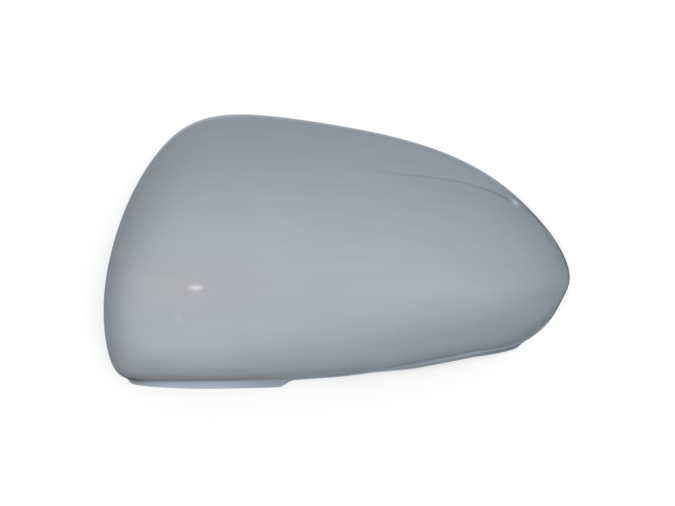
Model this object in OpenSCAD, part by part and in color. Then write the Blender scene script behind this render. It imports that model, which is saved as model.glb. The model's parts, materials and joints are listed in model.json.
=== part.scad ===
// Wing mirror cover: the painted cap that clips over the back of a door mirror's housing.
// One injection-moulded shell, with its snap hooks, locating pins and stiffening fins moulded on inside.
// It lies rim down: +Z points out of the cover through its crown, +X points to the nose that
// lies against the door, and +Y points up as the cover sits on the car.
// The origin is under the middle of the cover, on the surface that the rim rests on.

/* [Cover] */
// Length of the cover from its blunt outboard end to its nose
cover_len = 205.4; // [180:0.1:230]
// Width of the cover across the wall's foot, without the lip
cover_w = 118.2; // [100:0.1:135]
// Height of the crown over the rim
crown_h = 62; // [50:1:72]
// How far the roof sags from the crown towards the ends
sag_along = 3; // [1:0.5:6]
// How far the roof sags from the crown towards the long edges
sag_across = 2; // [1:0.5:4]
// Thickness of the moulded wall
wall = 2.5; // [2:0.1:3.2]

/* [Rim] */
// How far the bead along the rim stands out from the wall
bead = 1; // [0.6:0.1:1.6]
// Height of the bead and of the lip
bead_h = 1.6; // [1.2:0.1:2.4]
// Height of the rebate that seats over the housing's edge
rebate_h = 4; // [3:0.5:6]
// Depth of the rebate into the wall
rebate_d = 1; // [0.5:0.1:1.4]

/* [Lip under the outboard end] */
// How far the lip stands out from the wall
lip_reach = 3.8; // [2:0.1:6]
// How far it stands out where it starts, at its outboard end
lip_start_reach = 2.6; // [1.5:0.1:4]
// Distance from the outboard end to the lip
lip_start = 10.4; // [6:0.1:20]
// Length of the lip
lip_len = 73.6; // [50:0.1:90]
// Length over which the lip rises from the wall at its outboard end
lip_run_in = 3; // [2:0.5:15]
// Length over which the lip dies into the wall at its inboard end
lip_run_out = 7; // [3:0.5:20]

/* [Cut-out for the mirror's arm] */
// Distance from the outboard end to the cut-out
arm_start = 94; // [88:1:105]
// Length of the cut-out
arm_len = 91; // [70:1:92]
// How far the rim rises over the arm
arm_rise = 12; // [6:1:16]
// Width of the flange along the cut-out
arm_flange = 2.2; // [1.2:0.1:3]

/* [Style crease] */
// How far the skin steps down along the crease, beside the upper edge
crease_depth = 1.2; // [0.4:0.1:2]
// Width of the step
crease_w = 1.4; // [1:0.1:4]

/* [Snap hooks] */
// Width of a hook's blade
hook_w = 10; // [6:0.5:14]
// Thickness of a hook's blade
hook_t = 2.2; // [1.6:0.1:3]
// Distance between the wall's foot and a hook's blade, where the wall stands upright
hook_inset = 7; // [5:0.5:10]
// Height of a hook's tip over the plane of the rim
hook_tip_z = 5; // [3:0.5:10]
// How far a hook's barb stands out from its blade
barb = 1.8; // [1:0.1:2.4]
// Height of a hook's barb
barb_h = 4.5; // [3:0.5:7]
// Thickness of the gussets that brace a hook against the wall
gusset_t = 1.2; // [0.8:0.1:1.8]

/* [Locating pins] */
// Diameter of a pin
pin_d = 4; // [3:0.1:6]
// Length of a pin's free end
pin_len = 8; // [6:0.5:12]
// Height of a pin's tip over the plane of the rim
pin_tip_z = 6; // [4:0.5:12]
// Diameter of the boss that carries a pin
boss_d = 8; // [7:0.5:12]
// Reach of a boss's cross ribs beyond the boss
boss_rib = 3.5; // [2:0.5:6]

/* [Stiffening fins] */
// Thickness of a fin
fin_t = 1.4; // [1:0.1:2]
// Reach of a fin inwards from the wall's foot
fin_reach = 7; // [5:0.5:10]
// Height of a fin's top over the plane of the rim
fin_top_z = 26; // [18:1:32]
// Height of a fin's lower edge over the plane of the rim
fin_low_z = 8; // [6:0.5:12]

/* [Hidden] */

primer_grey = [0.66, 0.69, 0.72];

// Stations round the wall's foot, counter-clockwise from the nose.
// Each is x and y on a cover of the nominal size, how far the roof stays full before it turns down,
// how tightly it turns into the side, where the crease runs from crown to rim, and the crease's share.
stations = [
    [101.9, -10.4, 4.2, 1.7, 0.97, 0],
    [93.7, 7, 3.3, 1.85, 1, 1.4],
    [71, 29.9, 2.6, 1.65, 0.95, 1.9],
    [39, 45.5, 2.4, 1.3, 0.8, 0.3],
    [0.8, 54.1, 2.5, 1.15, 0.79, 0],
    [-35.6, 59, 2.9, 1.05, 0.85, 0],
    [-57.6, 57.2, 3.1, 1.1, 0.85, 0],
    [-73.5, 47.9, 3.7, 1.4, 0.85, 0],
    [-88.3, 26.8, 5.6, 2, 0.85, 0],
    [-98.2, -0.2, 10.4, 2.3, 0.85, 0],
    [-101.7, -26.1, 15.3, 2.45, 0.85, 0],
    [-98.2, -48.5, 10.7, 2.25, 0.85, 0],
    [-88.9, -56.1, 7.8, 2.1, 0.85, 0],
    [-62, -56.7, 6.5, 2.45, 0.85, 0],
    [-24.7, -56.1, 4.4, 2.5, 0.85, 0],
    [14.5, -52.9, 3.6, 2.15, 0.85, 0],
    [49.6, -47.2, 3.6, 1.55, 0.85, 0],
    [75.9, -42.1, 3.7, 1.25, 0.85, 0],
    [91.8, -31.7, 3.8, 1.6, 0.88, 0],
    [98.3, -20.3, 4.8, 1.65, 0.92, 0]
];

// Where the crown lies between the outboard end and the nose, and between the lower and upper edge
crown_at = [0.42, 0.345];

// Facets: stations are divided into equal steps, and rings crowd together towards the rim
steps = 6;
sectors = steps * len(stations);
rings = 18;
crease_ring = 12;
crowding = 1.8;

function smooth(f) = let (c = min(max(f, 0), 1)) c * c * (3 - 2 * c);
function unit(v) = v / norm(v);
function flat(v) = [v.x, v.y];
function wrap(i) = (i + sectors) % sectors;

// A closed smooth curve that runs nearly through the rows of a table
function pushed(rows, i) =
    let (n = len(rows), before = rows[(i + n - 1) % n], here = rows[i % n], after = rows[(i + 1) % n])
    here - (before - 2 * here + after) / 6;
function through(rows, t) =
    let (n = len(rows), i = floor(t), f = t - i)
    ((1 - f) ^ 3 * pushed(rows, i + n - 1)
        + (3 * f ^ 3 - 6 * f ^ 2 + 4) * pushed(rows, i + n)
        + (-3 * f ^ 3 + 3 * f ^ 2 + 3 * f + 1) * pushed(rows, i + n + 1)
        + f ^ 3 * pushed(rows, i + n + 2)) / 6;

// The wall's foot in plan, brought to the stated length and width
shape = [for (i = [0:sectors - 1]) through(stations, i / steps)];
low = [min([for (p = shape) p.x]), min([for (p = shape) p.y])];
high = [max([for (p = shape) p.x]), max([for (p = shape) p.y])];
foot_len = cover_len - 2 * bead;
foot_w = cover_w - 2 * bead;
foot = [for (p = shape) [
    (p.x - low.x) / (high.x - low.x) * foot_len - foot_len / 2,
    (p.y - low.y) / (high.y - low.y) * foot_w - foot_w / 2
]];
out = [for (i = [0:sectors - 1]) let (d = foot[wrap(i + 1)] - foot[wrap(i - 1)]) unit([d.y, -d.x])];
crown = [(crown_at.x - 0.5) * foot_len, (crown_at.y - 0.5) * foot_w];

// A stretch of the lower edge, by its distance from the outboard end, with a run-in and a run-out
function stretch(i, start, length, run_in, run_out) =
    let (from_end = foot[i].x + cover_len / 2)
    smooth(-2 * out[i].y - 0.4)
        * smooth((from_end - start) / run_in)
        * smooth((start + length - from_end) / run_out);
lip_share = [for (i = [0:sectors - 1]) stretch(i, lip_start, lip_len, lip_run_in, lip_run_out)];
arm_share = [for (i = [0:sectors - 1]) stretch(i, arm_start, arm_len, arm_len / 4, arm_len / 4)];
flange_share = [for (i = [0:sectors - 1])
    stretch(i, arm_start + arm_len / 4, arm_len * 0.75, arm_len / 4, 2 * arm_flange)];
lip_w = [for (i = [0:sectors - 1])
    let (share = smooth((foot[i].x + cover_len / 2 - lip_start) / (lip_len / 2)))
    lip_start_reach + (lip_reach - lip_start_reach) * share];
flange_w = [for (i = [0:sectors - 1])
    bead + (lip_w[i] - bead) * lip_share[i] + (arm_flange - bead) * flange_share[i]];
rim_z = [for (i = [0:sectors - 1]) arm_rise * arm_share[i]];

// The roof that the cover would have if it never turned down to its rim
function roof(p) =
    crown_h - sag_along * ((p.x - crown.x) / (foot_len / 2)) ^ 2
        - sag_across * ((p.y - crown.y) / (foot_w / 2)) ^ 2;

// A point of the outer skin: i is the station, s runs from 0 at the crown to 1 at the wall's foot
function skin(i, s, dip = 0) =
    let (p = crown + (foot[i] - crown) * s, full = shape[i][2], turn = shape[i][3])
    [p.x, p.y, bead_h + (roof(p) - bead_h) * max(1 - s ^ full, 0) ^ (1 / turn) - dip];

// Where the outer skin comes down to a given height over the rim, which follows the arm's cut-out
function s_at(i, height) =
    let (share = (rim_z[i] + height - bead_h) / (roof(foot[i]) - bead_h))
    (1 - share ^ shape[i][3]) ^ (1 / shape[i][2]);

// The wall's lower edge, cut away over the arm, and the edge of the bead and lip that run along it
wall_edge = [for (i = [0:sectors - 1]) crown + (foot[i] - crown) * s_at(i, bead_h)];
rim_edge = [for (i = [0:sectors - 1]) wall_edge[i] + out[i] * flange_w[i]];

// The whole cover is centred over the origin, lip included
middle = [
    (min([for (p = rim_edge) p.x]) + max([for (p = rim_edge) p.x])) / 2,
    (min([for (p = rim_edge) p.y]) + max([for (p = rim_edge) p.y])) / 2
];

// Rings run from the crown to the rebate's height, and three of them follow the crease's step
function crowd(f) = 1 - (1 - f) ^ crowding;
function ring_s(i, k) =
    let (
        last_s = s_at(i, rebate_h),
        crease_half = crease_w / 2 / norm(foot[i] - crown),
        crease_s = min(shape[i][4], last_s - 3 * crease_half),
        inner_s = crease_s - crease_half,
        outer_s = crease_s + crease_half,
        kin = crease_ring - 1,
        kout = crease_ring + 1
    )
    k <= kin ? inner_s * crowd(k / rings) / crowd(kin / rings)
        : k == crease_ring ? crease_s
        : last_s - (last_s - outer_s) * ((rings - k) / (rings - kout)) ^ crowding;
// The skin's drop beyond the crease, which dies away towards the rim
function dip(i, k) =
    let (kout = crease_ring + 1, drop = crease_depth * max(shape[i][5], 0))
    k < crease_ring ? 0
        : k == crease_ring ? drop / 2
        : drop * ((rings - k) / (rings - kout)) ^ crowding;

outer = [for (k = [1:rings]) [for (i = [0:sectors - 1]) skin(i, ring_s(i, k), dip(i, k))]];
top = [crown.x, crown.y, crown_h];

// The outward normal of the outer skin on ring k
function at(i, k) = k < 1 ? top : outer[min(k, rings) - 1][wrap(i)];
function normal(i, k) = unit(cross(at(i, k + 1) - at(i, k - 1), at(i + 1, k) - at(i - 1, k)));

function inset_ring(k, depth) = [for (i = [0:sectors - 1]) at(i, k) - depth * normal(i, k)];
// The rim's inner edge lies level with the rim, so the inset is taken along the ground
function inset_foot(depth) = [for (i = [0:sectors - 1])
    let (n = flat(normal(i, rings)), p = wall_edge[i] - n / (n * n) * depth) [p.x, p.y, rim_z[i]]];
function level(points, raise) = [for (i = [0:sectors - 1]) [points[i].x, points[i].y, rim_z[i] + raise]];

// A closed solid through rings of equal length, with a point at each end
module lofted(first, loops, last) {
    n = len(loops[0]);
    points = concat([first], [for (loop = loops) each loop], [last]);
    ends = len(points) - 1;
    faces = concat(
        [for (i = [0:n - 1]) [0, 1 + (i + 1) % n, 1 + i]],
        [for (k = [0:len(loops) - 2]) for (i = [0:n - 1])
            let (a = 1 + k * n + i, b = 1 + k * n + (i + 1) % n)
            each [[a, b, b + n], [a, b + n, a + n]]],
        [for (i = [0:n - 1]) let (a = 1 + (len(loops) - 1) * n) [ends, a + i, a + (i + 1) % n]]
    );
    polyhedron(points, faces);
}

// The shell: outer skin, bead and lip, rim, rebate and inner skin
module shell() {
    color(primer_grey)
        lofted(top, concat(
            outer,
            [
                level(wall_edge, bead_h),
                level(rim_edge, bead_h),
                level(rim_edge, 0),
                inset_foot(wall - rebate_d),
                inset_ring(rings, wall - rebate_d),
                inset_ring(rings, wall)
            ],
            [for (k = [rings - 2:-2:2]) inset_ring(k, wall)]
        ), top - [0, 0, wall]);
}

// The space inside the cover out to the middle of its wall, which trims what is moulded on inside
module core() {
    function half(loop) = [for (i = [0:2:sectors - 1]) loop[i]];
    lofted(top - [0, 0, wall / 2], concat(
        [for (k = [2:2:rings]) half(inset_ring(k, wall / 2))],
        [half(inset_foot(wall / 2))]
    ), [crown.x, crown.y, 0]);
}

// Puts children at a station of the wall's foot, inset along the ground, with +X pointing outwards
module at_station(t, inset) {
    i = round(t * steps);
    p = wall_edge[i] - out[i] * inset;
    translate([p.x, p.y, rim_z[i]]) rotate(atan2(out[i].y, out[i].x)) children();
}

module snap_hook(inset) {
    tip = hook_tip_z;
    translate([-hook_t, -hook_w / 2, tip]) cube([hook_t, hook_w, crown_h - tip]);
    rotate([90, 0, 0]) linear_extrude(hook_w, center = true)
        polygon([[-hook_t, tip], [0, tip], [barb, tip + barb_h * 0.7], [barb, tip + barb_h], [0, tip + barb_h]]);
    for (side = [-1, 1])
        translate([-hook_t / 2, side * (hook_w - gusset_t) / 2 - gusset_t / 2, tip + 3 * barb_h])
            cube([inset + hook_t / 2, gusset_t, crown_h - tip - 3 * barb_h]);
}

module locating_pin() {
    shoulder_z = pin_tip_z + pin_len;
    rib_z = shoulder_z + boss_d / 4;
    translate([0, 0, pin_tip_z]) cylinder(d = pin_d, h = pin_len + pin_d / 4, $fn = 48);
    translate([0, 0, shoulder_z]) cylinder(d = boss_d, h = crown_h - shoulder_z, $fn = 48);
    for (turn = [0, 90])
        rotate(turn) translate([-boss_d / 2 - boss_rib, -fin_t / 2, rib_z])
            cube([boss_d + 2 * boss_rib, fin_t, crown_h - rib_z]);
}

module fin() {
    translate([-fin_reach, -fin_t / 2, fin_low_z]) cube([2 * fin_reach, fin_t, fin_top_z - fin_low_z]);
}

// The station of each hook, and its inset's share of the usual one, which is more where the wall leans
hook_places = [[1.5, 1.35], [3.5, 2.15], [6.3, 2], [10.2, 1], [13.5, 1], [18.7, 1.15]];
// The station of each fin
fin_places = [0.3, 7.8, 8.6, 9.4, 11, 12.5, 14.3, 19.5];
// The place of each pin between the outboard end and the nose, and between the lower and upper edge
pin_places = [[0.27, 0.47], [0.74, 0.5]];

module moulded_on() {
    for (place = hook_places)
        let (inset = hook_inset * place[1]) at_station(place[0], inset) snap_hook(inset);
    for (t = fin_places) at_station(t, 0) fin();
    for (p = pin_places)
        translate([(p.x - 0.5) * foot_len, (p.y - 0.5) * foot_w, 0]) locating_pin();
}

module mirror_cover() {
    translate([-middle.x, -middle.y, 0]) {
        shell();
        color(primer_grey) intersection() {
            moulded_on();
            core();
        }
    }
}

mirror_cover();
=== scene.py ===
"""Looks of a wing mirror cover: a primed, unpainted cap for a car's door mirror, lying rim down.

The moulding is rebuilt at a fine resolution from the same dimensions as the part's source, in
millimetres, and then brought to metres. +Z points out through the crown, and +X to the nose.
"""

import json
import math

import bmesh
import bpy
import numpy as np
from mathutils import Matrix, Vector


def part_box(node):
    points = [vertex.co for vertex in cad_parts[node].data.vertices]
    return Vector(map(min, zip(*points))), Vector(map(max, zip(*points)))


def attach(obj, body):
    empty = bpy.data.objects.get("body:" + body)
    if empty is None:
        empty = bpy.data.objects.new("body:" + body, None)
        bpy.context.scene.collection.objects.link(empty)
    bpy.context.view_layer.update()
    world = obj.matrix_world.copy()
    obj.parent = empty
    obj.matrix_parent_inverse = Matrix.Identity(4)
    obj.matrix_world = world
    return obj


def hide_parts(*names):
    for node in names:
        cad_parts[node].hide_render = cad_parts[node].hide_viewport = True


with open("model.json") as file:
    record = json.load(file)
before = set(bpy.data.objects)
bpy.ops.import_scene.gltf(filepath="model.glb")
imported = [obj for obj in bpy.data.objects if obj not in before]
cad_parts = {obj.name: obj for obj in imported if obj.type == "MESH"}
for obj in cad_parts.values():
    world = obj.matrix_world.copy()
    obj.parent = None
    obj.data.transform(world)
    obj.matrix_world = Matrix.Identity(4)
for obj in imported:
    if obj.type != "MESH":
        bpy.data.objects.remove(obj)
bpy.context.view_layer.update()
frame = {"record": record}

MM = 0.001
NODE = "mirror_cover"

# Driving sizes of the moulding, in millimetres
WALL = 2.5
BEAD = 1.0
BEAD_H = 1.6
REBATE_H = 4.0
REBATE_D = 1.0
LIP_REACH = 3.8
LIP_START_REACH = 2.6
LIP_START = 10.4
LIP_LEN = 73.6
LIP_RUN_IN = 3.0
LIP_RUN_OUT = 7.0
ARM_START = 94.0
ARM_LEN = 91.0
ARM_RUN = ARM_LEN / 4
ARM_RISE = 12.0
ARM_FLANGE = 2.2
CREASE_DEPTH = 1.2
CREASE_W = 1.4
HOOK_W = 10.0
HOOK_T = 2.2
HOOK_INSET = 7.0
HOOK_TIP_Z = 5.0
BARB = 1.8
BARB_H = 4.5
BARB_LEAD = 0.7 * BARB_H
GUSSET_T = 1.2
GUSSET_Z = HOOK_TIP_Z + 3 * BARB_H
PIN_D = 4.0
PIN_LEN = 8.0
PIN_TIP_Z = 6.0
PIN_CHAMFER = 0.5
BOSS_D = 8.0
BOSS_RIB = 3.5
FIN_T = 1.4
FIN_REACH = 7.0
FIN_TOP_Z = 26.0
FIN_LOW_Z = 8.0
COVER_LEN = 205.4
COVER_W = 118.2
CROWN_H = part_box(NODE)[1][2] / MM
SAG_ALONG = 3.0
SAG_ACROSS = 2.0

# Where the crown stands, as shares of the plan's length and width
CROWN_AT = np.array([0.42, 0.345])

# The lower edge is where the wall faces down: how squarely, times this rise and less this start, has
# to be over 0
FACING_RISE = 2
FACING_START = 0.4

# Radii of the moulding's edges, in millimetres
FOOT_FILLET = 0.4
BEAD_ROUND = 0.45
RIM_ROUND = 0.35
REBATE_ROUND = 0.25
FEATURE_ROUND = 0.3

# Stations round the wall's foot, counter-clockwise from the nose: x, y, how full the roof stays,
# how tightly it turns into the side, where the crease runs from crown to rim, and the crease's share
STATIONS = np.array([
    [101.9, -10.4, 4.2, 1.7, 0.97, 0],
    [93.7, 7, 3.3, 1.85, 1, 1.4],
    [71, 29.9, 2.6, 1.65, 0.95, 1.9],
    [39, 45.5, 2.4, 1.3, 0.8, 0.3],
    [0.8, 54.1, 2.5, 1.15, 0.79, 0],
    [-35.6, 59, 2.9, 1.05, 0.85, 0],
    [-57.6, 57.2, 3.1, 1.1, 0.85, 0],
    [-73.5, 47.9, 3.7, 1.4, 0.85, 0],
    [-88.3, 26.8, 5.6, 2, 0.85, 0],
    [-98.2, -0.2, 10.4, 2.3, 0.85, 0],
    [-101.7, -26.1, 15.3, 2.45, 0.85, 0],
    [-98.2, -48.5, 10.7, 2.25, 0.85, 0],
    [-88.9, -56.1, 7.8, 2.1, 0.85, 0],
    [-62, -56.7, 6.5, 2.45, 0.85, 0],
    [-24.7, -56.1, 4.4, 2.5, 0.85, 0],
    [14.5, -52.9, 3.6, 2.15, 0.85, 0],
    [49.6, -47.2, 3.6, 1.55, 0.85, 0],
    [75.9, -42.1, 3.7, 1.25, 0.85, 0],
    [91.8, -31.7, 3.8, 1.6, 0.88, 0],
    [98.3, -20.3, 4.8, 1.65, 0.92, 0],
])

# Hooks as a station and a share of the usual inset, fins as a station, and pins as shares of the plan
HOOKS = [(1.5, 1.35), (3.5, 2.15), (6.3, 2), (10.2, 1), (13.5, 1), (18.7, 1.15)]
FINS = [0.3, 7.8, 8.6, 9.4, 11, 12.5, 14.3, 19.5]
PINS = [(0.27, 0.47), (0.74, 0.5)]

# Painted light and shade in the primer round the cover. Each row is a station, how strong a painted
# dark line is along the bead, where that line runs from the wall's foot, 0, to the bead's edge, 1, the
# painted shade up the wall, lighter where below 0, how far in that shade reaches in millimetres, and the
# painted light in a band in from the foot
SHADING_BY_STATION = np.array([
    [0, 0.78, 0.72, 0.12, 5, 0],
    [0.5, 0.82, 0.68, 0.2, 4.5, 0],
    [1, 0.8, 0.95, 0.2, 3.6, 0],
    [1.5, 0.6, 0.05, 0.06, 2.5, 0],
    [2, 0.12, 0.5, -0.09, 8, 0.02],
    [3, 0.2, 0.35, -0.13, 8, 0.03],
    [4, 0.22, 0.35, -0.07, 5, 0.02],
    [6, 0.1, 0.35, -0.09, 2.4, 0],
    [7, 0, 0.3, 0.03, 5, 0],
    [8, 0.2, 0, 0.17, 5.5, 0.03],
    [9, 0.4, -0.1, 0.25, 5, 0.06],
    [10, 0.6, -0.15, 0.33, 5, 0.04],
    [11, 0.7, -0.1, 0.38, 5, 0.06],
    [11.5, 0.6, 0.05, 0.54, 5, 0.06],
    [12, 0.75, 0.15, 0.6, 5, 0.08],
    [12.5, 0, 0.2, 0.54, 4.8, 0.17],
    [13.5, 0, 0.2, 0.48, 4, 0.14],
    [14.5, 0, 0.5, 0.34, 4.6, 0.12],
    [15.5, 0.35, 0.6, 0.16, 5, 0.1],
    [16.5, 0.5, 0.75, 0.12, 6, 0.08],
    [17, 0.6, 0.65, 0.18, 7.5, 0.03],
    [18, 0.45, 0.85, 0.34, 6, 0],
    [18.5, 0.88, 0.8, 0.23, 3.6, 0],
    [19.5, 0.75, 0.78, 0.12, 3.6, 0],
])

# The painted dark line's width as a share of the flange, and the height over the rim that it keeps up to
EDGE_SHADE_W = 0.42
EDGE_SHADE_TOP = 3.0

# How far in from the wall's foot the band of painted light lies, and over what width
LIGHT_BAND_AT = 7.0
LIGHT_BAND_W = 3.8

# Where the painted shade up the wall sets in at the wall's foot, and the width in which it does
RIM_SHADE_START = 0.7
RIM_SHADE_RUN = 1.2

# Painted light on the lip's top: its gain, its run-in and run-out along the lip, and its run-in at the
# root
LIP_PAINTED_LIGHT = 1.45
LIP_LIGHT_IN = 0.3
LIP_LIGHT_OUT = 0.5
LIP_ROOT = 0.4 * LIP_REACH

# The painted shade line in the crease: its loss, the station where it is darkest, and how it fades from
# there
CREASE_SHADE = 0.32
CREASE_SHADE_STATION = 1.72
CREASE_SHADE_KEEP = 1.1
CREASE_SHADE_RUN = 0.4

# The warmer patch on the outboard half, and the cooler band round the sides, in millimetres
WARM_AT = (-68.0, -14.5)
WARM_REACH = (34.0, 14.0)
COOL_REACH = 14.0

# A painted glint at the crease's inboard end: its place, turn, gain, and its reach along and across
PAINTED_GLINT_AT = (78.4, 21.3)
PAINTED_GLINT_TURN = math.radians(-38.0)
PAINTED_GLINT_GAIN = 1.1
PAINTED_GLINT_REACH = (1.7, 0.95)

# Fineness of the meshes: steps between stations, and rings inside, across and outside the crease
FINE_STEPS = 20
CORE_STEPS = 5
RINGS_IN = 64
RINGS_CREASE = 8
RINGS_OUT = 34

# The share of the crowded run that lies inside the crease, the crease's least distance from the rim in
# its own half widths, and how strongly the rings crowd together
CREASE_START = 0.63
CREASE_CLEAR = 3
CROWDING = 1.8

# The inner skin takes every third ring, and the space inside takes every fourth, starting at the fourth
INNER_STRIDE = 3
CORE_FIRST = 3
CORE_STRIDE = 4

# Extra rings across the flange, as shares of its width
FLANGE_RINGS = (0.2, 0.4, 0.6, 0.8)

# Cuts in a rounded edge, and the largest share of a neighbouring side that the rounding takes
ROUND_CUTS = 3
ROUND_MOST = 0.45
FEATURE_CUTS = 2
PIN_SIDES = 48

# From these angles on, in degrees, a feature's edge is rounded, and an edge stays sharp in the shading
FEATURE_ANGLE = 40
SHADE_ANGLE = 38


def smooth(f):
    f = np.clip(f, 0, 1)
    return f * f * (3 - 2 * f)


def unit(v):
    return v / np.linalg.norm(v, axis=-1, keepdims=True)


def spline(rows, t):
    """Points at t on a closed smooth curve that runs nearly through the rows."""
    n = len(rows)
    pushed = rows - (np.roll(rows, 1, 0) - 2 * rows + np.roll(rows, -1, 0)) / 6
    i = np.floor(t).astype(int)
    f = (t - i)[:, None]
    return (
        (1 - f) ** 3 * pushed[(i - 1) % n]
        + (3 * f ** 3 - 6 * f ** 2 + 4) * pushed[i % n]
        + (-3 * f ** 3 + 3 * f ** 2 + 3 * f + 1) * pushed[(i + 1) % n]
        + f ** 3 * pushed[(i + 2) % n]
    ) / 6


class Form:
    """The moulding's surfaces. Rings are arrays of one point per sector, counter-clockwise."""

    def __init__(self, steps):
        self.steps = steps
        shape = spline(STATIONS, np.arange(len(STATIONS) * steps) / steps)
        self.full, self.turn, self.crease_s, self.crease_share = shape[:, 2:].T
        low, high = shape[:, :2].min(0), shape[:, :2].max(0)
        self.size = np.array([COVER_LEN, COVER_W]) - 2 * BEAD
        self.foot = ((shape[:, :2] - low) / (high - low) - 0.5) * self.size
        along = np.roll(self.foot, -1, 0) - np.roll(self.foot, 1, 0)
        self.out = unit(np.stack([along[:, 1], -along[:, 0]], 1))
        self.crown = (CROWN_AT - 0.5) * self.size
        self.crease_half = CREASE_W / 2 / np.linalg.norm(self.foot - self.crown, axis=1)
        self.lip = self.stretch(LIP_START, LIP_LEN, LIP_RUN_IN, LIP_RUN_OUT)
        arm = self.stretch(ARM_START, ARM_LEN, ARM_RUN, ARM_RUN)
        flange = self.stretch(ARM_START + ARM_RUN, ARM_LEN - ARM_RUN, ARM_RUN, 2 * ARM_FLANGE)
        widening = smooth((self.foot[:, 0] + COVER_LEN / 2 - LIP_START) / (LIP_LEN / 2))
        lip_w = LIP_START_REACH + (LIP_REACH - LIP_START_REACH) * widening
        self.flange_w = BEAD + (lip_w - BEAD) * self.lip + (ARM_FLANGE - BEAD) * flange
        self.rim_z = ARM_RISE * arm
        cut = self.s_at(BEAD_H)[:, None]
        self.wall_edge = self.crown + (self.foot - self.crown) * cut
        self.rim_edge = self.wall_edge + self.out * self.flange_w[:, None]
        self.middle = (self.rim_edge.min(0) + self.rim_edge.max(0)) / 2

    def stretch(self, start, length, run_in, run_out):
        """1 along a stretch of the lower edge, and 0 elsewhere, with a run-in and a run-out."""
        from_end = self.foot[:, 0] + COVER_LEN / 2
        return (
            smooth(FACING_RISE * -self.out[:, 1] - FACING_START)
            * smooth((from_end - start) / run_in)
            * smooth((start + length - from_end) / run_out)
        )

    def roof(self, p):
        along = (p[..., 0] - self.crown[0]) / (self.size[0] / 2)
        across = (p[..., 1] - self.crown[1]) / (self.size[1] / 2)
        return CROWN_H - SAG_ALONG * along ** 2 - SAG_ACROSS * across ** 2

    def skin(self, s, dip=0.0):
        """The outer skin's ring, with s from 0 at the crown to 1 at the wall's foot for each sector."""
        p = self.crown + (self.foot - self.crown) * s[:, None]
        turned = np.clip(1 - s ** self.full, 0, 1) ** (1 / self.turn)
        z = BEAD_H + (self.roof(p) - BEAD_H) * turned - dip
        return np.column_stack([p, z])

    def s_at(self, height):
        """Where the outer skin comes down to a height over the rim."""
        share = (self.rim_z + height - BEAD_H) / (self.roof(self.foot) - BEAD_H)
        return (1 - share ** self.turn) ** (1 / self.full)

    def outer_rings(self, creased=True):
        """Rings from the crown to the rebate's height, crowded along the crease and at the rim."""
        last = self.s_at(REBATE_H)
        crease = np.minimum(self.crease_s, last - CREASE_CLEAR * self.crease_half)
        inner, outer = crease - self.crease_half, crease + self.crease_half
        drop = CREASE_DEPTH * np.clip(self.crease_share, 0, None) * creased
        reach = 1 - (1 - CREASE_START) ** CROWDING
        rings = []
        for k in range(1, RINGS_IN + 1):
            f = CREASE_START * k / RINGS_IN
            rings.append(self.skin(inner * (1 - (1 - f) ** CROWDING) / reach))
        for k in range(1, RINGS_CREASE):
            f = k / RINGS_CREASE
            rings.append(self.skin(inner + (outer - inner) * f, drop * smooth(f)))
        for k in range(RINGS_OUT + 1):
            left = (1 - k / RINGS_OUT) ** CROWDING
            rings.append(self.skin(last - (last - outer) * left, drop * left))
        return np.array(rings)

    def level(self, points, raise_by):
        return np.column_stack([points, self.rim_z + raise_by])

    def inset_foot(self, normals, depth):
        """The rim's inner edge: level with the rim, so the inset is taken along the ground."""
        flat = normals[:, :2]
        across = flat / (flat ** 2).sum(1)[:, None] * depth
        return self.level(self.wall_edge - across, 0)

    def top(self, depth=0.0):
        return np.array([self.crown[0], self.crown[1], CROWN_H - depth])


def normals_of(rings):
    """Outward normals of a grid of rings."""
    around = np.roll(rings, -1, 1) - np.roll(rings, 1, 1)
    return unit(np.cross(np.gradient(rings, axis=0), around))


def rounded(before, corner, after, radius):
    """Rings that round the corner between two neighbouring rings."""
    ends = []
    for other in (before, after):
        gap = other - corner
        length = np.linalg.norm(gap, axis=1, keepdims=True)
        ends.append(corner + gap / length * np.minimum(radius, ROUND_MOST * length))
    shares = np.linspace(0, 1, ROUND_CUTS + 1)
    return [(1 - f) ** 2 * ends[0] + 2 * f * (1 - f) * corner + f ** 2 * ends[1] for f in shares]


def lofted(name, first, rings, last):
    """A closed mesh through rings of equal length, with a point at each end."""
    n = len(rings[0])
    points = np.vstack([first[None], *rings, last[None]])
    around = [(i, (i + 1) % n) for i in range(n)]
    faces = [(0, 1 + i, 1 + j) for i, j in around]
    for base in range(1, 1 + (len(rings) - 1) * n, n):
        faces += [(base + i, base + n + i, base + n + j, base + j) for i, j in around]
    base = 1 + (len(rings) - 1) * n
    faces += [(base + j, base + i, len(points) - 1) for i, j in around]
    mesh = bpy.data.meshes.new(name)
    mesh.from_pydata(points.tolist(), [], faces)
    return new_object(name, mesh)


def new_object(name, mesh):
    obj = bpy.data.objects.new(name, mesh)
    bpy.context.scene.collection.objects.link(obj)
    return obj


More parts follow.
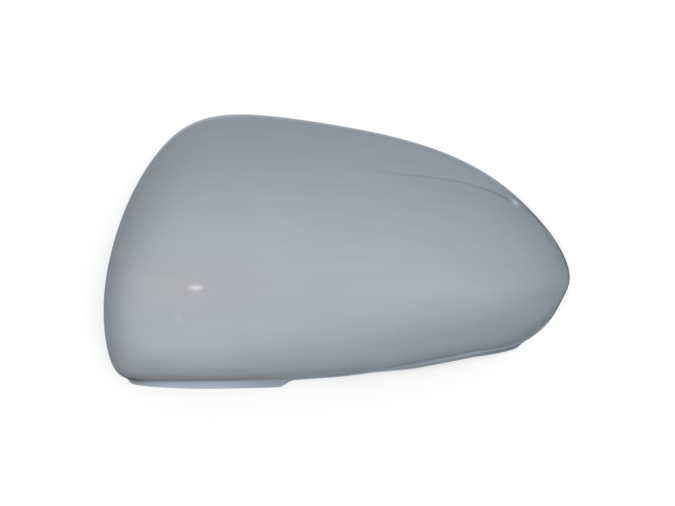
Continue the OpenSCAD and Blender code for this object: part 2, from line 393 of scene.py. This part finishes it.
def make_shell(form):
    """The outer skin, bead and lip, rim, rebate and inner skin, as one closed mesh."""
    outer = form.outer_rings()
    plain = form.outer_rings(creased=False)
    normal = normals_of(plain)
    inner = outer - WALL * normal
    halfway = BEAD_H + 0.5 * (REBATE_H - BEAD_H)
    above = form.skin(form.s_at(halfway))
    corners = [
        above,
        form.level(form.wall_edge, BEAD_H),
        form.level(form.rim_edge, BEAD_H),
        form.level(form.rim_edge, 0),
        form.inset_foot(normal[-1], WALL - REBATE_D),
        plain[-1] - (WALL - REBATE_D) * normal[-1],
        inner[-1],
        inner[-2],
    ]
    radii = [FOOT_FILLET, BEAD_ROUND, RIM_ROUND, RIM_ROUND, REBATE_ROUND, REBATE_ROUND]
    foot, *bends = [rounded(*corners[k:k + 3], radius) for k, radius in enumerate(radii)]
    start, end = foot[-1], bends[0][0]
    flange = [start + (end - start) * share for share in FLANGE_RINGS]
    edge = [ring for bend in bends for ring in bend]
    rings = [*outer, above, *foot, *flange, *edge, *inner[-2::-INNER_STRIDE]]
    return lofted("cover_shell", form.top(), rings, form.top(WALL))


def make_core(form):
    """The space inside the cover out to the middle of its wall, which trims what is moulded on."""
    plain = form.outer_rings(creased=False)
    normal = normals_of(plain)
    middle = plain - WALL / 2 * normal
    foot = form.inset_foot(normal[-1], WALL / 2)
    below = np.array([form.crown[0], form.crown[1], 0.0])
    rings = [*middle[CORE_FIRST::CORE_STRIDE], middle[-1], foot]
    return lofted("core", form.top(WALL / 2), rings, below)


def add_prism(mesh, place, profile, low, high):
    """Adds a solid: a profile in X and Z, drawn from low to high along Y, at a place."""
    ends = [[mesh.verts.new(place @ Vector((x, y, z))) for x, z in profile] for y in (low, high)]
    n = len(profile)
    mesh.faces.new(ends[0])
    mesh.faces.new(reversed(ends[1]))
    for i in range(n):
        j = (i + 1) % n
        mesh.faces.new((ends[0][j], ends[0][i], ends[1][i], ends[1][j]))


def add_box(mesh, place, low, high):
    profile = [(low[0], low[2]), (high[0], low[2]), (high[0], high[2]), (low[0], high[2])]
    add_prism(mesh, place, profile, low[1], high[1])


def add_turned(mesh, place, profile):
    """Adds a solid turned about Z from a profile of radius and height, lowest first."""
    angles = [2 * math.pi * i / PIN_SIDES for i in range(PIN_SIDES)]
    loops = [
        [mesh.verts.new(place @ Vector((radius * math.cos(a), radius * math.sin(a), z))) for a in angles]
        for radius, z in profile
    ]
    mesh.faces.new(reversed(loops[0]))
    mesh.faces.new(loops[-1])
    for lower, upper in zip(loops, loops[1:]):
        for i in range(PIN_SIDES):
            j = (i + 1) % PIN_SIDES
            mesh.faces.new((lower[i], lower[j], upper[j], upper[i]))


def station_place(form, t, inset):
    """A place on the rim's plane, inset from the wall at a station, with X pointing out."""
    i = round(t * form.steps) % len(form.foot)
    p = form.wall_edge[i] - form.out[i] * inset
    turn = math.atan2(form.out[i][1], form.out[i][0])
    return Matrix.Translation((p[0], p[1], form.rim_z[i])) @ Matrix.Rotation(turn, 4, "Z")


def add_hook(mesh, place, inset):
    """A blade with a barb that faces the wall, and a gusset to the wall at each side."""
    tip = HOOK_TIP_Z
    half = HOOK_W / 2
    profile = [
        (-HOOK_T, tip),
        (0, tip),
        (BARB, tip + BARB_LEAD),
        (BARB, tip + BARB_H),
        (0, tip + BARB_H),
        (0, CROWN_H),
        (-HOOK_T, CROWN_H),
    ]
    add_prism(mesh, place, profile, -half, half)
    for low in (-half, half - GUSSET_T):
        add_box(mesh, place, (-HOOK_T / 2, low, GUSSET_Z), (inset, low + GUSSET_T, CROWN_H))


def add_pin(mesh, place):
    """A locating pin on a round boss with four ribs."""
    shoulder = PIN_TIP_Z + PIN_LEN
    radius = PIN_D / 2
    add_turned(mesh, place, [
        (radius - PIN_CHAMFER, PIN_TIP_Z),
        (radius, PIN_TIP_Z + PIN_CHAMFER),
        (radius, shoulder),
        (BOSS_D / 2 - PIN_CHAMFER, shoulder),
        (BOSS_D / 2, shoulder + PIN_CHAMFER),
        (BOSS_D / 2, CROWN_H),
    ])
    reach = BOSS_D / 2 + BOSS_RIB
    for turn in (0, math.pi / 2):
        spot = place @ Matrix.Rotation(turn, 4, "Z")
        add_box(mesh, spot, (-reach, -FIN_T / 2, shoulder + BOSS_D / 4), (reach, FIN_T / 2, CROWN_H))


def add_fin(mesh, place):
    add_box(mesh, place, (-FIN_REACH, -FIN_T / 2, FIN_LOW_Z), (FIN_REACH, FIN_T / 2, FIN_TOP_Z))


def make_features(form):
    """Hooks, fins and pins with softened edges, not yet trimmed to the cover."""
    mesh = bmesh.new()
    for t, share in HOOKS:
        inset = HOOK_INSET * share
        add_hook(mesh, station_place(form, t, inset), inset)
    for t in FINS:
        add_fin(mesh, station_place(form, t, 0))
    for share in PINS:
        x, y = (np.array(share) - 0.5) * form.size
        add_pin(mesh, Matrix.Translation((x, y, 0)))
    data = bpy.data.meshes.new("features")
    mesh.to_mesh(data)
    mesh.free()
    features = new_object("features", data)
    edges = features.modifiers.new("edges", "BEVEL")
    edges.width = FEATURE_ROUND
    edges.segments = FEATURE_CUTS
    edges.limit_method = "ANGLE"
    edges.angle_limit = math.radians(FEATURE_ANGLE)
    apply_modifiers(features)
    return features


class Places:
    """Where a mesh's vertices lie on the form, to bring its values by sector to them."""

    def __init__(self, form, mesh):
        self.form = form
        self.points = np.array([v.co for v in mesh.vertices])
        spokes = form.foot - form.crown
        self.first = math.atan2(spokes[0][1], spokes[0][0])
        flat = self.points[:, :2] - form.crown
        self.turn = self.turned(flat)
        self.away = np.linalg.norm(flat, axis=1)
        turns = np.append(self.turned(spokes), math.tau)
        turns[0] = 0
        self.sectors = np.arange(len(spokes) + 1)
        self.sector = np.interp(self.turn, turns, self.sectors)
        self.station = self.sector / form.steps
        square_on = self.at((unit(spokes) * form.out).sum(1))
        self.inwards = (self.reach(form.wall_edge) - self.away) * square_on
        self.over_rim = self.points[:, 2] - self.at(form.rim_z)
        self.from_crease = self.away - self.at(form.crease_s * np.linalg.norm(spokes, axis=1))
        self.on_plan = self.points[:, :2] - form.middle

    def turned(self, p):
        """How far points lie round the crown from the first sector, in radians."""
        return (np.arctan2(p[:, 1], p[:, 0]) - self.first) % math.tau

    def at(self, values):
        """One value per sector, brought to the vertices."""
        return np.interp(self.sector, self.sectors, np.append(values, values[0]))

    def reach(self, edge):
        """How far an edge lies from the crown, in each vertex's direction."""
        spoke = edge - self.form.crown
        order = np.argsort(self.turned(spoke))
        lengths = np.linalg.norm(spoke, axis=1)
        return np.interp(self.turn, self.turned(spoke)[order], lengths[order], period=math.tau)


def hump(distance):
    """1 at no distance, dying away smoothly."""
    return np.exp(-distance ** 2)


def hump_round(offset, reach):
    """1 at no offset, dying away smoothly on all sides, by its own reach along and across."""
    return np.exp(-((offset / reach) ** 2).sum(1))


def lip_share(places):
    """How far each vertex is on the lip, from 0 to 1."""
    along = (places.points[:, 0] + COVER_LEN / 2 - LIP_START) / LIP_LEN
    share = smooth(along / LIP_LIGHT_IN) * smooth((1 - along) / LIP_LIGHT_OUT)
    share *= smooth(-places.inwards / LIP_ROOT)
    return share * places.at(places.form.lip)


def painted_light_and_shade(places, rim_shade, depth, gain):
    """Painted light and shade in the primer: darker towards the rim and along the crease, lighter in a
    band in from the wall's foot, and a painted glint at one spot.
    """
    inwards = places.inwards
    # Painted shade, darker towards the rim where the wall turns away
    painted_shading = 1 - rim_shade * smooth(1 - inwards / depth) * smooth(RIM_SHADE_START + inwards / RIM_SHADE_RUN)
    # Painted light in a band in from the wall's foot
    painted_shading += gain * hump((inwards - LIGHT_BAND_AT) / LIGHT_BAND_W)
    # Painted shade along the crease
    from_crease_shade = np.abs(places.station - CREASE_SHADE_STATION) / CREASE_SHADE_RUN
    thin = CREASE_SHADE * smooth(CREASE_SHADE_KEEP - from_crease_shade)
    painted_shading *= 1 - thin * hump(places.from_crease / (CREASE_W / 2))
    # A painted glint at one spot
    cos, sin = math.cos(PAINTED_GLINT_TURN), math.sin(PAINTED_GLINT_TURN)
    glint_offset = (places.on_plan - PAINTED_GLINT_AT) @ np.array([[cos, -sin], [sin, cos]])
    return painted_shading + PAINTED_GLINT_GAIN * hump_round(glint_offset, PAINTED_GLINT_REACH)


def store_shading_and_tints(form, mesh):
    """Stores painted light and shade at each vertex, with a painted dark line along the bead, and the
    primer's warm and cool tints.
    """
    places = Places(form, mesh)
    # Columns of painted light and shade: a dark line along the bead, shade up the wall and a band of
    # light
    columns = SHADING_BY_STATION.T[1:]
    painted_edge_shade, edge_shade_at, rim_shade, depth, gain = (
        np.interp(places.station, SHADING_BY_STATION[:, 0], column, period=len(STATIONS)) for column in columns
    )
    on_lip = lip_share(places)
    painted_shading = painted_light_and_shade(places, rim_shade, depth, gain)
    # The painted shade line along the bead, kept low on the wall
    line = (places.inwards / places.at(form.flange_w) + edge_shade_at) / EDGE_SHADE_W
    edge_shade_height = smooth(2 - places.over_rim / EDGE_SHADE_TOP)
    values = {
        # On the lip, painted light on its top takes over
        "painted_shading": painted_shading + (LIP_PAINTED_LIGHT - painted_shading) * on_lip,
        "painted_edge_shade": painted_edge_shade * hump(line) * edge_shade_height * (1 - on_lip),
        "warm": hump_round(places.on_plan - WARM_AT, WARM_REACH),
        "cool": smooth(1 - places.inwards / COOL_REACH),
    }
    for name, value in values.items():
        stored = mesh.attributes.new(name, "FLOAT", "POINT")
        stored.data.foreach_set("value", value.astype(np.float32))


def apply_modifiers(obj):
    """Replaces the object's mesh with what its modifiers make of it."""
    graph = bpy.context.evaluated_depsgraph_get()
    mesh = bpy.data.meshes.new_from_object(obj.evaluated_get(graph))
    obj.modifiers.clear()
    obj.data = mesh


def combine(obj, other, operation, solver, overlapping=False):
    """Joins, cuts or trims obj with another object, which is then removed."""
    step = obj.modifiers.new("combine", "BOOLEAN")
    step.operation = operation
    step.solver = solver
    step.object = other
    if overlapping:
        step.use_self = True
    apply_modifiers(obj)
    bpy.data.objects.remove(other)


def make_cover():
    """The whole moulding as one mesh, with its tints and painted light and shade stored on it."""
    fine = Form(FINE_STEPS)
    shell = make_shell(fine)
    features = make_features(fine)
    combine(features, make_core(Form(CORE_STEPS)), "INTERSECT", "EXACT", overlapping=True)
    combine(shell, features, "UNION", "MANIFOLD")
    mesh = shell.data
    store_shading_and_tints(fine, mesh)
    mesh.transform(Matrix.Translation((*-fine.middle, 0)))
    mesh.transform(Matrix.Scale(MM, 4))
    mesh.shade_smooth()
    mesh.set_sharp_from_angle(angle=math.radians(SHADE_ANGLE))
    shell.name = "primed_cover"
    return shell


class Nodes:
    """Short calls for a material's or a world's nodes."""

    def __init__(self, tree):
        self.tree = tree
        tree.nodes.clear()

    def add(self, kind, inputs=None, **values):
        node = self.tree.nodes.new(kind)
        for key, value in values.items():
            setattr(node, key, value)
        for key, value in (inputs or {}).items():
            self.put(node, key, value)
        return node

    def put(self, node, key, value):
        if isinstance(value, bpy.types.NodeSocket):
            self.tree.links.new(value, node.inputs[key])
        else:
            node.inputs[key].default_value = value

    def place(self, scale):
        """Object coordinates in metres, stretched."""
        coords = self.add("ShaderNodeTexCoord").outputs["Object"]
        return self.add("ShaderNodeMapping", {"Vector": coords, "Scale": scale}).outputs[0]

    def stored(self, name):
        """A value stored at the mesh's vertices."""
        return self.add("ShaderNodeAttribute", attribute_name=name).outputs["Fac"]

    def noise(self, scale, detail, stretch=(1, 1, 1)):
        """Noise, with its waves per metre, its octaves and how the coordinates are stretched."""
        return self.add("ShaderNodeTexNoise", {
            "Vector": self.place(stretch), "Scale": scale, "Detail": detail,
        }).outputs["Fac"]

    def span(self, value, low, high, start=0.0, end=1.0):
        """Brings a value from low..high to start..end, clamped."""
        return self.add("ShaderNodeMapRange", {
            "Value": value, "From Min": low, "From Max": high, "To Min": start, "To Max": end,
        }).outputs["Result"]

    def math(self, operation, a, b):
        return self.add("ShaderNodeMath", {0: a, 1: b}, operation=operation).outputs[0]

    def mix(self, share, a, b):
        """Mixes two colours. The node's colours are its inputs 6 and 7, and its output 2."""
        return self.add("ShaderNodeMix", {0: share, 6: a, 7: b}, data_type="RGBA").outputs[2]

    def scaled(self, vector, by):
        return self.add("ShaderNodeVectorMath", {0: vector, 3: by}, operation="SCALE").outputs[0]

    def times(self, a, b):
        return self.add("ShaderNodeVectorMath", {0: a, 1: b}, operation="MULTIPLY").outputs[0]

    def bump(self, height, distance, strength, normal=None):
        inputs = {"Height": height, "Distance": distance, "Strength": strength}
        if normal is not None:
            inputs["Normal"] = normal
        return self.add("ShaderNodeBump", inputs).outputs["Normal"]


def new_material(name):
    """An empty material and its nodes."""
    material = bpy.data.materials.new(name)
    material.use_nodes = True
    return material, Nodes(material.node_tree)


def grey(colour, gain=1.0):
    """A colour made darker or lighter, with its alpha."""
    return (*(min(c * gain, 1.0) for c in colour), 1.0)


PRIMER_GREY = frame["record"]["materials"][0]["base_color"][:3]
# The dark grey of the painted shade line along the bead
PAINTED_EDGE_DARK = (0.052, 0.054, 0.057)
TINTS = {"warm": (1.06, 0.975, 0.935), "cool": (0.965, 1.0, 1.045)}

# The primer's gains where it lies thin, thick, in streaks and in specks
THIN_GAIN = 0.975
THICK_GAIN = 1.02
STREAK_GAIN = 0.94
SPECK_GAIN = 1.12

# The primer's shine, which is weak, under the faint gloss of its finest film
SHINE = {"Specular IOR Level": 0.015, "Coat Weight": 0.06, "Coat Roughness": 0.025}

# How rough the primer is where it is smoothest and where it is roughest
ROUGHNESS = (0.38, 0.5)

# The primer's patterns, in waves per metre. The streaks have one number for each axis
PATCH_SCALE = 14.0
STREAK_SCALE = (9, 260, 260)
SPECK_SCALE = 2600.0
ROUGHNESS_SCALE = 60.0
PEEL_SCALE = 520.0
GRAIN_SCALE = 3200.0

# How much the streaks and the specks cover where they are strongest
STREAK_SHARE = 0.5
SPECK_SHARE = 0.35

# The primer's peel and grain: their heights in metres, and how strongly they show
PEEL_H = 0.00004
GRAIN_H = 0.000012
PEEL_STRENGTH = 0.35
GRAIN_STRENGTH = 0.4


def primer_colour(n):
    """Grey primer: broad thin and thick patches, streaks along the spray passes, and fine specks."""
    patches = n.span(n.noise(PATCH_SCALE, 2.0), 0.35, 0.65)
    colour = n.mix(patches, grey(PRIMER_GREY, THIN_GAIN), grey(PRIMER_GREY, THICK_GAIN))
    streaks = n.span(n.noise(1.0, 3.0, STREAK_SCALE), 0.45, 0.75, 0.0, STREAK_SHARE)
    colour = n.mix(streaks, colour, grey(PRIMER_GREY, STREAK_GAIN))
    specks = n.span(n.noise(SPECK_SCALE, 1.0), 0.62, 0.78, 0.0, SPECK_SHARE)
    return n.mix(specks, colour, grey(PRIMER_GREY, SPECK_GAIN))


def primer_material():
    """The primer's colour with its stored tints and painted light and shade, mixed to a dark grey as a
    painted shade line along the bead.
    """
    material, n = new_material("grey_primer")
    peel = n.bump(n.noise(PEEL_SCALE, 2.0), PEEL_H, PEEL_STRENGTH)
    grain = n.bump(n.noise(GRAIN_SCALE, 2.0), GRAIN_H, GRAIN_STRENGTH, peel)
    colour = primer_colour(n)
    for name, tint in TINTS.items():
        colour = n.mix(n.stored(name), colour, n.times(colour, tint))
    # Painted light and shade, stored at the vertices, scale the colour
    colour = n.scaled(colour, n.stored("painted_shading"))
    shader = n.add("ShaderNodeBsdfPrincipled", {
        "Base Color": n.mix(n.stored("painted_edge_shade"), colour, grey(PAINTED_EDGE_DARK)),
        "Roughness": n.span(n.noise(ROUGHNESS_SCALE, 4.0), 0.3, 0.7, *ROUGHNESS),
        "Normal": grain,
        **SHINE,
    })
    n.add("ShaderNodeOutputMaterial", {"Surface": shader.outputs[0]})
    return material


# The picture's size, the cover's length in it and the place of the cover's middle, in pixels
FRAME_W = 675
FRAME_H = 506
COVER_PX = 466
MIDDLE_PX = (336.6, 251.7)

# The camera's height in metres, its sensor's width in millimetres, and how far it sees in metres
CAMERA_Z = 3.0
SENSOR_W = 36.0
SIGHT = 100.0


def make_camera():
    """A camera straight over the cover, shifted so that the cover lies where it does in the picture."""
    data = bpy.data.cameras.new("camera")
    camera = bpy.data.objects.new("camera", data)
    bpy.context.scene.collection.objects.link(camera)
    per_px = COVER_LEN * MM / COVER_PX
    data.sensor_fit = "HORIZONTAL"
    data.sensor_width = SENSOR_W
    data.lens = SENSOR_W * CAMERA_Z / (per_px * FRAME_W)
    data.clip_end = SIGHT
    aside = (FRAME_W / 2 - MIDDLE_PX[0]) * per_px
    down = (FRAME_H / 2 - MIDDLE_PX[1]) * per_px
    camera.location = (aside, -down, CAMERA_Z)
    bpy.context.scene.camera = camera


def make_lamp(name, place, target, size, power, shines=True):
    """An area lamp at a place, turned to a target, which gloss mirrors only if it shines."""
    data = bpy.data.lights.new(name, "AREA")
    data.shape = "RECTANGLE"
    data.size, data.size_y = size
    data.energy = power
    lamp = bpy.data.objects.new(name, data)
    bpy.context.scene.collection.objects.link(lamp)
    lamp.location = place
    lamp.visible_glossy = shines
    lamp.rotation_euler = (Vector(target) - Vector(place)).to_track_quat("-Z", "Y").to_euler()


# Softboxes round the cover, each as its degrees from the nose, its degrees over the floor, and its watts
SOFTBOXES = {
    "top": (0, 90, 12.0),
    "back_right": (45, 18, 1.0),
    "left": (180, 18, 1.0),
}
SOFTBOX_AWAY = 1.8
SOFTBOX_SIZE = 0.8


def make_lights():
    for name, (azimuth, elevation, power) in SOFTBOXES.items():
        a, e = math.radians(azimuth), math.radians(elevation)
        towards = Vector((math.cos(e) * math.cos(a), math.cos(e) * math.sin(a), math.sin(e)))
        size = (SOFTBOX_SIZE, SOFTBOX_SIZE)
        make_lamp(name, towards * SOFTBOX_AWAY, (0, 0, 0), size, power, shines=False)


# Small bright windows high over the cover, which its gloss mirrors, each as its place, its size across
# and along, and its watts
GLINT_Z = 3.6
GLINTS = {
    "streak": ((-0.336, -0.016, GLINT_Z), (0.012, 0.072), 0.7),
    "patch": ((-0.416, -0.198, GLINT_Z), (0.05, 0.055), 0.16),
}
GLINT_TARGET = (-0.06, -0.02, 0.06)


def make_glints():
    for name, (place, size, power) in GLINTS.items():
        make_lamp(name, place, GLINT_TARGET, size, power)


# The sky's strength as light and as seen, the floor's half width in metres, its grey as it takes light
# and as seen, its glow as seen, and its roughness
SKY_LIGHT = 0.63
SKY_SEEN = 1.0
FLOOR_HALF = 8.0
FLOOR_LIGHT = 0.12
FLOOR_SEEN = 0.55
FLOOR_GLOW = 0.52
FLOOR_ROUGHNESS = 0.9
WHITE = (1, 1, 1, 1)


def seen_directly(n):
    """1 for camera, mirror and see-through rays, which show the white backdrop."""
    path = n.add("ShaderNodeLightPath")
    shine = n.math("MAXIMUM", path.outputs["Is Glossy Ray"], path.outputs["Is Transmission Ray"])
    return n.math("MAXIMUM", path.outputs["Is Camera Ray"], shine)


def make_world():
    world = bpy.data.worlds.new("studio")
    bpy.context.scene.world = world
    world.use_nodes = True
    n = Nodes(world.node_tree)
    strength = n.span(seen_directly(n), 0.0, 1.0, SKY_LIGHT, SKY_SEEN)
    sky = n.add("ShaderNodeBackground", {"Color": WHITE, "Strength": strength})
    n.add("ShaderNodeOutputWorld", {"Surface": sky.outputs[0]})


def make_floor():
    mesh = bpy.data.meshes.new("floor")
    corners = [(x * FLOOR_HALF, y * FLOOR_HALF, 0) for x, y in ((-1, -1), (1, -1), (1, 1), (-1, 1))]
    mesh.from_pydata(corners, [], [(0, 1, 2, 3)])
    floor = new_object("floor", mesh)
    material, n = new_material("white_floor")
    seen = seen_directly(n)
    shader = n.add("ShaderNodeBsdfPrincipled", {
        "Base Color": n.mix(seen, grey(WHITE[:3], FLOOR_LIGHT), grey(WHITE[:3], FLOOR_SEEN)),
        "Roughness": FLOOR_ROUGHNESS,
        "Specular IOR Level": 0.0,
        "Emission Color": WHITE,
        "Emission Strength": n.math("MULTIPLY", seen, FLOOR_GLOW),
    })
    n.add("ShaderNodeOutputMaterial", {"Surface": shader.outputs[0]})
    mesh.materials.append(material)


# The joined mesh comes with an empty slot, which goes first
cover = make_cover()
cover.data.materials.clear()
cover.data.materials.append(primer_material())
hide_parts(NODE)
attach(cover, "root")

make_camera()
make_lights()
make_glints()
make_world()
make_floor()
bpy.context.scene.view_settings.view_transform = "Standard"
